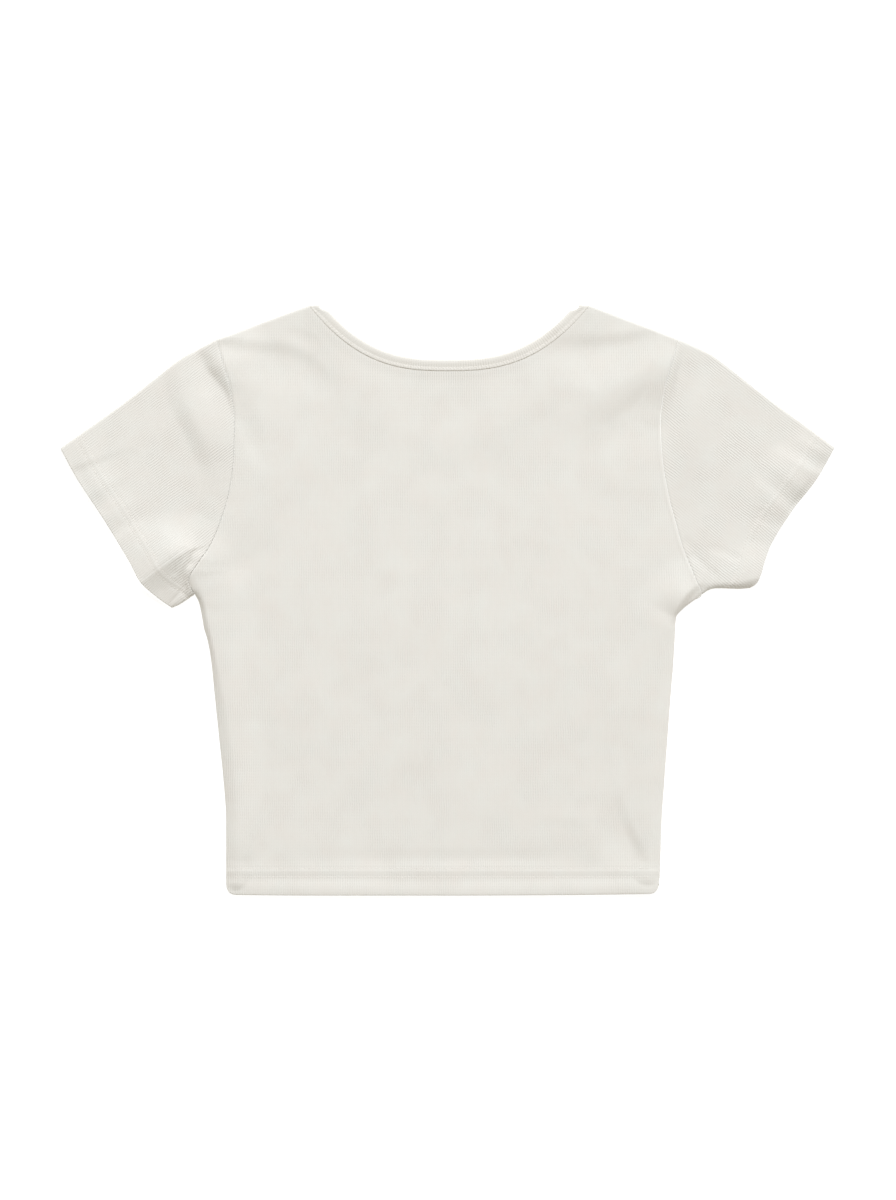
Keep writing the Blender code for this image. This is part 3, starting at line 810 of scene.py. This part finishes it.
def sleevePlan(sleeve, stations, parts):
    # plan places of the sleeve at each station, from its armhole seam out to its cuff
    heights = np.linspace(tipHeight, bodyCut["underarm"], 160)
    seamLine = np.stack([bodyEdge(sleeve["side"], heights), heights], axis=-1)
    seamLine = towards(seamLine, bodyCut["seamGap"] * (1 if sleeve["side"] == 1 else -1))
    lengths = lengthsOf(seamLine)
    ridge = np.interp(-sleeve["ridgeHeight"], -heights, lengths)
    where = np.interp(parts, [0.0, sleeve["ridgeAt"], 1.0], [0.0, ridge, lengths[-1]])
    seam = atParts(seamLine, where / lengths[-1])
    cuff = curveThrough(sleeve["cuff"], parts)
    top = curveThrough([seamLine[0]] + sleeve["top"][1:], stations)
    under = curveThrough(sleeve["under"][:-1] + [seamLine[-1]], 1.0 - np.asarray(stations))
    s = np.asarray(stations)[:, None, None]
    t = np.asarray(parts)[None, :, None]
    across = top[:, None] * (1 - t) + under[:, None] * t
    along = seam[None] * (1 - s) + cuff[None] * s
    corner = ((seam[0] * (1 - s) + cuff[0] * s) * (1 - t) + (seam[-1] * (1 - s) + cuff[-1] * s) * t)
    return across + along - corner


def makeSleeve(name, material):
    sleeve = sleeveCut[name]
    stations, parts = sleeveStations(), sleeveParts()
    turn = bodyCut["doubled"] / 2.0
    plan = sleevePlan(sleeve, stations, parts)
    outwards = plan[-1] - plan[-4]
    outwards /= np.linalg.norm(outwards, axis=1)[:, None]
    plan = plan - outwards[None] * turn * stations[:, None, None]
    toCuff = np.linalg.norm(plan - plan[-1][None], axis=-1) + turn
    toSeam = np.linalg.norm(plan - plan[0][None], axis=-1)
    step = sleeve["step"]

    def rings(plan, toCuff, toSeam, deeper):
        x, y = plan[..., 0], plan[..., 1]
        turned = np.clip((cuffSewing["turned"] + step - toCuff) / step, 0.0, 1.0) ** 1.6
        high, low, middle, room = layers(x, y, turned)
        dip = seamSewing["groove"][sleeve["side"] - 1] * bell(toSeam, 1.5, 1.2)
        for row, pull, reach in zip(cuffSewing["rows"], cuffSewing["pull"], cuffSewing["reach"]):
            dip = dip + pull * np.exp(-((toCuff - row) / reach) ** 2)
        gap = bodyCut["turnedGap"] if deeper else 0.02
        dip = dip + (bodyCut["doubled"] if deeper else 0.0)
        high = np.maximum(high - dip, middle + gap)
        low = np.minimum(low + dip, middle - gap)
        high[:, [0, -1]] = middle[:, [0, -1]]
        low = np.maximum(low, 0.0)
        low[:, 0] = middle[:, 0]
        upper = np.dstack([x, y, high])
        lower = np.dstack([x, y, low])[:, ::-1]
        ring = np.concatenate([upper, lower[:, 1:]], axis=1)
        if deeper:
            room = turnedRoom(room)
        else:
            room = np.minimum(np.minimum(high - middle, middle - low) - bodyCut["clear"], thinned(turned))
        room = np.concatenate([room, room[:, ::-1][:, 1:]], axis=1)
        return ring, room

    outer, room = rings(plan, toCuff, toSeam, False)
    width = np.linalg.norm(plan[-1][-1] - plan[-1][0])
    inset = cuffSewing["inset"] / width
    innerParts = inset + parts * (1.0 - 2.0 * inset)
    lengthAlong = np.median(toSeam[-1])
    innerStations = np.linspace(1.0, 1.0 - cuffSewing["turned"] / lengthAlong, 9)
    innerPlan = sleevePlan(sleeve, innerStations, innerParts)
    innerPlan = innerPlan - outwards[None] * turn * innerStations[:, None, None]
    innerToCuff = np.linalg.norm(innerPlan - innerPlan[0][None], axis=-1) + turn
    inner, innerRoom = rings(innerPlan, innerToCuff, np.full(innerPlan.shape[:2], 99.0), True)
    out3 = np.concatenate([outwards, outwards[::-1][1:]])
    out3 = np.concatenate([out3, np.zeros((len(out3), 1))], axis=1)
    fold = foldRound(outer[-1], inner[0], out3)
    points = np.vstack([outer, fold, inner])
    foldRoom = np.broadcast_to(np.minimum(bodyCut["pressed"], room[-1] + 0.1), fold.shape[:2])
    rooms = np.vstack([room, foldRoom, innerRoom])
    grain = math.radians(sleeve["grain"])
    flat = np.stack([-points[..., 0] * math.sin(grain) + points[..., 1] * math.cos(grain),
                     points[..., 0] * math.cos(grain) + points[..., 1] * math.sin(grain)], axis=-1)
    if sleeve["side"] == 1:
        points, rooms, flat = points[:, ::-1], rooms[:, ::-1], flat[:, ::-1]
    piece = clothPiece(name, points, flat, rooms, material, closed=True)
    reportPiece(piece)
    return piece, outer, toCuff


sleeveLeft, leftOuter, leftToCuff = makeSleeve("sleeveLeft", sleeveKnit)
sleeveRight, rightOuter, rightToCuff = makeSleeve("sleeveRight", sleeveKnit)


# The neck binding

bindingCut = {
    "over": 1.0,            # it laps this far over the cloth
    "proud": (0.55, 0.85),  # its face stands this far over the cloth, by the shoulders and between
    "frontLevel": 0.5,      # the front's run lies its edge stitch on the table
    "turn": 1.6,            # the fold at a shoulder starts this far short of the corner
    "bend": 13.0,           # and the strip turns level over this length
    "end": (7.7, 0.2),
    "width": 8.9,
    "wall": 0.55,           # thinner than the radius that the strip turns over
    "nub": 0.10,            # the edge stitch puckers its face this high
    "nubPitch": 2.75,
    "hiddenRun": 0.55,      # the front's run is pressed to this share under its face
    # across the strip: from its seam to its free edge, round it and back under itself
    "section": [
        (0.0, -1.1), (0.06, -0.6), (0.3, -0.16), (0.75, 0.04), (1.3, 0.12), (1.9, 0.10),
        (2.5, 0.0), (3.1, -0.02), (3.9, 0.12), (5.0, 0.30), (6.1, 0.40), (7.1, 0.40),
        (7.9, 0.26), (8.4, 0.0), (8.75, -0.42), (8.9, -0.85), (8.75, -1.28), (8.4, -1.60),
        (7.4, -1.86), (5.4, -1.95), (3.5, -1.95), (2.2, -1.95), (1.5, -1.85),
    ],
}


def bindingRun(neck, step, level):
    # the seam's line along one neckline, with the way to the free edge and the face's height
    xs = np.linspace(neckLeft, neckRight, 400)
    line = np.stack([xs, neckHeight(neck, xs)], axis=-1)
    line = towards(line, bindingCut["over"])
    total = lengthsOf(line)[-1]
    first = bindingCut["turn"] / total
    parts = np.linspace(first, 1.0 - first, int(total / step))
    seam = atParts(line, parts)
    along = np.gradient(seam, axis=0)
    along /= np.linalg.norm(along, axis=1)[:, None]
    free = np.stack([-along[:, 1], along[:, 0]], axis=-1) * bindingCut["width"]
    # at both ends the strip narrows and turns level, to fold over
    for end, inwards in ((0, 1.0), (-1, -1.0)):
        away = lengthsOf(seam)
        away = away if end == 0 else away[-1] - away
        share = 1.0 - smooth(away / bindingCut["bend"])
        level0 = np.array([bindingCut["end"][0] * inwards, bindingCut["end"][1]])
        free = free * (1 - share[:, None]) + level0 * share[:, None]
    return seam, free, level(seam)


def makeBinding(material):
    def backLevel(seam):
        single = np.zeros(len(seam))
        lengths = lengthsOf(seam)
        inwards = smooth(np.minimum(lengths, lengths[-1] - lengths) / 45.0)
        byShoulder, between = bindingCut["proud"]
        return (upperHeight(seam[:, 0], seam[:, 1], single)[0]
                + byShoulder + (between - byShoulder) * inwards)

    back = bindingRun(backNeck, 0.55, backLevel)
    front = bindingRun(frontNeck, 1.1, lambda seam: np.full(len(seam), bindingCut["frontLevel"]))
    q, dz = np.array(bindingCut["section"]).T
    part = q / bindingCut["width"]

    def sections(run, upper):
        seam, free, level = run
        plan = seam[:, None] + free[:, None] * part[None, :, None]
        length = lengthsOf(seam)[:, None]
        wave = np.cos(2 * math.pi * length / bindingCut["nubPitch"])
        nub = bindingCut["nub"] * wave * bell(q - 1.9, 1.1)[None] * (dz > -0.9)[None]
        pressedFlat = np.maximum(dz, -0.85) + bindingCut["hiddenRun"] * np.minimum(dz + 0.85, 0.0)
        height = level[:, None] + (dz + nub if upper else -pressedFlat - nub)
        height = np.maximum(height, 0.0)
        return np.dstack([plan[..., 0], plan[..., 1], height])

    upper = sections(back, True)
    lower = sections(front, False)

    def foldOver(high, low):
        turns = []
        for degrees in np.arange(70.0, -71.0, -17.5):
            angle = math.radians(degrees)
            radius = (high[:, 2] - low[:, 2]) / 2.0
            plan = high[:, :2] + (low[:, :2] - high[:, :2]) * (0.5 - 0.5 * math.sin(angle))
            plan = plan + np.outer(np.maximum(radius, 0.1) * math.cos(angle), [0.0, 1.0])
            turns.append(np.column_stack([plan, low[:, 2] + radius * (1.0 + math.sin(angle))]))
        return np.array(turns)

    rightTurn = foldOver(upper[-1], lower[-1])
    leftTurn = foldOver(upper[0], lower[0])[::-1]
    points = np.concatenate([upper, rightTurn, lower[::-1], leftTurn, upper[:1]])
    middle = points[:, 9]
    along = lengthsOf(middle)
    acrossLength = lengthsOf(points[len(upper) // 2])
    flat = np.stack(np.broadcast_arrays(along[:, None], acrossLength[None, :]), axis=-1)
    points, flat = points.transpose(1, 0, 2), flat.transpose(1, 0, 2)
    rooms = np.full(points.shape[:2], bindingCut["wall"])
    rooms[:2] = 0.45
    piece = clothPiece("neckBinding", points, flat.copy(), rooms, material, closed=True)
    reportPiece(piece)
    return piece, upper, lower


neckBinding, bindingUpper, bindingLower = makeBinding(bindingKnit)


# Stitches

stitchLook = {"pitch": 2.8, "long": 2.0, "wide": 0.5, "high": 0.32, "lift": 0.02}


def faceNormals(grid):
    # the upward or downward normal at each place of an outer face
    across = np.gradient(grid, axis=1)
    along = np.gradient(grid, axis=0)
    normal = np.cross(across, along)
    return normal / np.maximum(np.linalg.norm(normal, axis=-1), 1e-9)[..., None]


def between(grid, row, column):
    r = np.clip(np.floor(row).astype(int), 0, grid.shape[0] - 2)
    c = np.clip(np.floor(column).astype(int), 0, grid.shape[1] - 2)
    a, b = (row - r)[:, None], (column - c)[:, None]
    return ((grid[r, c] * (1 - a) + grid[r + 1, c] * a) * (1 - b)
            + (grid[r, c + 1] * (1 - a) + grid[r + 1, c + 1] * a) * b)


def sew(name, runs, look, material):
    # one stitch is a small bead: an array repeats it, and each is laid on the runs of
    # (places, outward normals)
    rows = []
    for path, normals in runs:
        lengths = lengthsOf(path)
        at = np.arange(look["pitch"] / 2.0, lengths[-1], look["pitch"])
        centre, ahead, back, up = (
            np.stack([np.interp(at + step, lengths, rail[:, k]) for k in range(3)], axis=-1)
            for rail, step in ((path, 0.0), (path, 0.4), (path, -0.4), (normals, 0.0)))
        along = ahead - back
        along /= np.linalg.norm(along, axis=1)[:, None]
        side = np.cross(up, along)
        side /= np.linalg.norm(side, axis=1)[:, None]
        up = np.cross(along, side)
        rows.append((centre + up * look["lift"], along, side, up))
    centre, along, side, up = (np.concatenate(row)[:, None] for row in zip(*rows))
    deselectAll()
    bpy.ops.mesh.primitive_uv_sphere_add(segments=8, ring_count=5, radius=0.5, calc_uvs=False)
    piece = bpy.context.object
    piece.name = piece.data.name = name
    bead = np.empty(len(piece.data.vertices) * 3)
    piece.data.vertices.foreach_get("co", bead)
    x, y, z = (bead.reshape(-1, 3)[None, :, k:k + 1] for k in range(3))
    array = piece.modifiers.new("Stitches", "ARRAY")
    array.count = len(centre)
    bpy.ops.object.modifier_apply(modifier=array.name)
    bpy.ops.object.shade_smooth()
    places = centre + z * look["long"] * along + x * look["wide"] * side + y * look["high"] * up
    piece.data.vertices.foreach_set("co", (places * mm + np.array([0.0, hemLine, 0.0])).ravel())
    piece.data.materials.append(material)
    reportPiece(piece)
    return piece


def hemRuns(outer, sign):
    normals = faceNormals(outer) * sign
    runs = []
    columns = np.arange(8.0, outer.shape[1] - 9.0, 0.5)
    for height in hemSewing["rows"]:
        middle = outer.shape[1] // 2
        row = np.interp(height, outer[:60, middle, 1], np.arange(60.0))
        rows = np.full(columns.shape, row)
        runs.append((between(outer, rows, columns), between(normals, rows, columns)))
    return runs


def cuffRuns(outer, toCuff):
    normals = faceNormals(outer)
    if normals[30, 40, 2] < 0:
        normals = -normals
    half = toCuff.shape[1]
    runs = []
    for distance in cuffSewing["rows"]:
        rows = np.array([np.interp(-distance, -toCuff[:, k], np.arange(float(toCuff.shape[0])))
                         for k in range(half)])
        rows = np.concatenate([rows, rows[::-1][1:]])
        columns = np.arange(float(len(rows)))
        runs.append((between(outer, rows, np.minimum(columns, outer.shape[1] - 1.0001)),
                     between(normals, rows, np.minimum(columns, outer.shape[1] - 1.0001))))
    return runs


def bindingRuns():
    runs = []
    for sections, sign in ((bindingUpper, 1.0), (bindingLower, -1.0)):
        path = sections[6:-6, 6]
        up = np.tile([0.0, 0.0, sign], (len(path), 1))
        runs.append((path, up))
    return runs


hemStitches = sew("hemStitches", hemRuns(backOuter, 1.0) + hemRuns(frontOuter, -1.0),
                  stitchLook, thread)
cuffStitchesLeft = sew("cuffStitchesLeft", cuffRuns(leftOuter, leftToCuff), stitchLook, thread)
cuffStitchesRight = sew("cuffStitchesRight", cuffRuns(rightOuter, rightToCuff), stitchLook, thread)
bindingStitches = sew("bindingStitches", bindingRuns(),
                      {"pitch": 2.75, "long": 2.0, "wide": 0.55, "high": 0.36, "lift": 0.05}, thread)
print("stitches sewn")


# The frame

for piece, node, slot in (
    (backPanel, "back_panel", "rib_body"),
    (frontPanel, "front_panel", "rib_body"),
    (sleeveLeft, "sleeve_left", "rib_sleeve"),
    (sleeveRight, "sleeve_right", "rib_sleeve"),
    (neckBinding, "neck_binding", "rib_binding"),
):
    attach(piece, "root")
    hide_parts(node)
for piece, slot in ((hemStitches, "rib_body"), (cuffStitchesLeft, "rib_sleeve"),
                    (cuffStitchesRight, "rib_sleeve"), (bindingStitches, "rib_binding")):
    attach(piece, "root")


# Floor, light and camera

studio = {
    "cameraHeight": 4.0,
    "shownLength": 0.9152,      # of the table, from the picture's top to its bottom
    "clothLevel": 0.0026,
    "cameraShift": (0.00038, -0.0003),
    "dome": 0.44,
    "domeColour": (1.0, 0.935, 0.84, 1.0),
    "keyPower": 1100.0,
    "keyPlace": (1.4, 7.4, 7.5),
    "keySize": (6.0, 4.8),
    "keyColour": (0.903, 0.934, 1.0),
    "boardGlow": 0.78,
}


def paleBoard():
    # matt white acrylic board, lit from below like a light table, so that it never goes grey
    material = bpy.data.materials.new("matt white acrylic board")
    material.use_nodes = True
    shader = material.node_tree.nodes["Principled BSDF"]
    shader.inputs["Base Color"].default_value = linear("B9B9B9")
    shader.inputs["Roughness"].default_value = 0.8
    shader.inputs["Emission Color"].default_value = linear("FFFFFF")
    shader.inputs["Emission Strength"].default_value = studio["boardGlow"]
    return material


deselectAll()
bpy.ops.mesh.primitive_plane_add(size=14.0, location=(0.0, 0.0, -0.0002))
floor = bpy.context.object
floor.name = "floor"
floor.data.materials.append(paleBoard())

world = bpy.data.worlds.new("studio dome")
bpy.context.scene.world = world
world.use_nodes = True
world.node_tree.nodes["Background"].inputs["Color"].default_value = studio["domeColour"]
world.node_tree.nodes["Background"].inputs["Strength"].default_value = studio["dome"]

bpy.ops.object.light_add(type="AREA", location=studio["keyPlace"])
key = bpy.context.object
key.name = "softbox"
key.data.shape = "RECTANGLE"
key.data.size, key.data.size_y = studio["keySize"]
key.data.energy = studio["keyPower"]
key.data.color = studio["keyColour"]
key.visible_camera = False
direction = -key.location
key.rotation_euler = direction.to_track_quat("-Z", "Y").to_euler()

cameraData = bpy.data.cameras.new("overhead camera")
cameraData.sensor_width = 36.0
cameraData.lens = 36.0 * (studio["cameraHeight"] - studio["clothLevel"]) / studio["shownLength"]
camera = bpy.data.objects.new("overhead camera", cameraData)
bpy.context.scene.collection.objects.link(camera)
camera.location = (*studio["cameraShift"], studio["cameraHeight"])
bpy.context.scene.camera = camera
bpy.context.scene.view_settings.view_transform = "Standard"
print("floor, light and camera placed")
